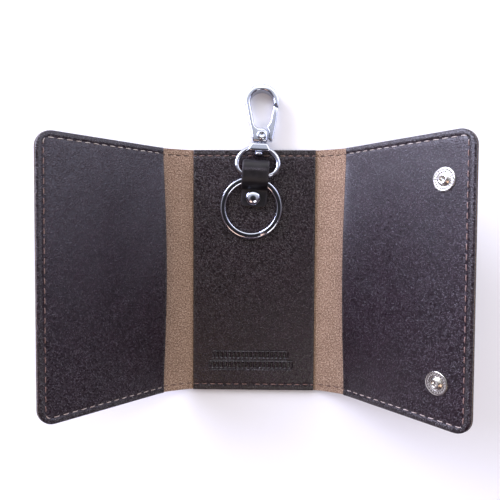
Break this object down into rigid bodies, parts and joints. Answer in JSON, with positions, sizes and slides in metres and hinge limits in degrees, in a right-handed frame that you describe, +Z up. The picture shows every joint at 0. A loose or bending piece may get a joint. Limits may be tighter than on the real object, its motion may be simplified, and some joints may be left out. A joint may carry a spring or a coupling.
{
  "type": "key organiser",
  "caption": "Trifold leather key case lying open on its back, with lined wings, press studs, a riveted key strap, a split ring and a swivel trigger hook.",
  "frame": {"origin": "centre of the centre panel's outer face, which is the face the open case lies on", "axes": "+X across the three panels to the wing with the studs, +Y along the panels to the swivel hook, +Z up, out of the centre panel's lined side"},
  "size_m": [0.156, 0.1366, 0.0532],
  "materials": {
    "cover_leather": "pebbled, semi-matt dark brown",
    "spine_suede": "unfinished flesh side on the inner face, dark grain outside",
    "lining_leather": "finely pebbled, semi-matt dark brown",
    "thread": "waxed polyester thread",
    "strap_leather": "smooth black leather, satin",
    "chrome_plate": "polished",
    "nickel_plate": "polished nickel",
    "spring_wire": "bright drawn wire"
  },
  "bodies": {
    "centre_panel": {"centre_cover": "cover_leather", "centre_lining": "lining_leather", "centre_seam_top": "thread", "centre_seam_bottom": "thread", "strap_rivet_post": "nickel_plate"},
    "left_spine_fold": {"left_spine": "spine_suede", "left_spine_seam_top": "thread", "left_spine_seam_bottom": "thread"},
    "left_wing": {"left_wing_cover": "cover_leather", "left_wing_lining": "lining_leather", "left_wing_seam": "thread", "upper_snap_socket": "nickel_plate", "upper_socket_spring": "spring_wire", "upper_socket_eyelet": "nickel_plate", "lower_snap_socket": "nickel_plate", "lower_socket_spring": "spring_wire", "lower_socket_eyelet": "nickel_plate"},
    "right_spine_fold": {"right_spine": "spine_suede", "right_spine_seam_top": "thread", "right_spine_seam_bottom": "thread"},
    "right_wing": {"right_wing_cover": "cover_leather", "right_wing_lining": "lining_leather", "right_wing_seam": "thread", "upper_snap_stud": "nickel_plate", "upper_snap_cap": "nickel_plate", "lower_snap_stud": "nickel_plate", "lower_snap_cap": "nickel_plate"},
    "strap": {"key_strap": "strap_leather", "strap_rivet_cap": "chrome_plate"},
    "key_ring": {"split_ring": "chrome_plate"},
    "d_ring": {"swivel_d_ring": "chrome_plate"},
    "hook": {"hook_body": "chrome_plate", "gate_pin": "chrome_plate", "gate_spring": "spring_wire"},
    "gate": {"gate_lever": "chrome_plate"}
  },
  "joints": [
    {"name": "left_spine_crease", "type": "hinge", "parent": "centre_panel", "child": "left_spine_fold", "pos_m": [-0.0284, 0, 0.0012], "axis": [0, 1, 0], "range_deg": [-24, 68.25]},
    {"name": "left_wing_crease", "type": "hinge", "parent": "left_spine_fold", "child": "left_wing", "pos_m": [-0.03991, 0, 0.00632], "axis": [0, 1, 0], "range_deg": [-24, 68.25]},
    {"name": "right_spine_crease", "type": "hinge", "parent": "centre_panel", "child": "right_spine_fold", "pos_m": [0.0284, 0, 0.0012], "axis": [0, -1, 0], "range_deg": [-25.7, 62.05]},
    {"name": "right_wing_crease", "type": "hinge", "parent": "right_spine_fold", "child": "right_wing", "pos_m": [0.04011, 0, 0.00684], "axis": [0, -1, 0], "range_deg": [-25.7, 62.05]},
    {"name": "strap_swivel", "type": "hinge", "parent": "centre_panel", "child": "strap", "pos_m": [-0.0005, 0.0325, 0.003], "axis": [0, 0, 1], "range_deg": [-12, 12]},
    {"name": "ring_swing", "type": "hinge", "parent": "strap", "child": "key_ring", "pos_m": [-0.00068, 0.04057, 0.00483], "axis": [0.9945, -0.0521, -0.0906], "range_deg": [-75, 0]},
    {"name": "d_ring_swing", "type": "hinge", "parent": "strap", "child": "d_ring", "pos_m": [0.00152, 0.04236, 0.00695], "axis": [-0.9986, 0.0523, 0], "range_deg": [-80, 0]},
    {"name": "hook_swivel", "type": "hinge", "parent": "d_ring", "child": "hook", "pos_m": [0.00225, 0.05629, 0.00531], "axis": [0.052, 0.9918, -0.1167], "continuous": true},
    {"name": "gate_pivot", "type": "hinge", "parent": "hook", "child": "gate", "pos_m": [0.00321, 0.05942, 0.00494], "axis": [0.0061, 0.1165, 0.9932], "range_deg": [0, 24], "stiffness_Nm_per_rad": 0.004, "springref_deg": -12}
  ],
  "couplings": [
    {"joint": "left_wing_crease", "follows": "left_spine_crease", "ratio": 1},
    {"joint": "right_wing_crease", "follows": "right_spine_crease", "ratio": 1}
  ]
}
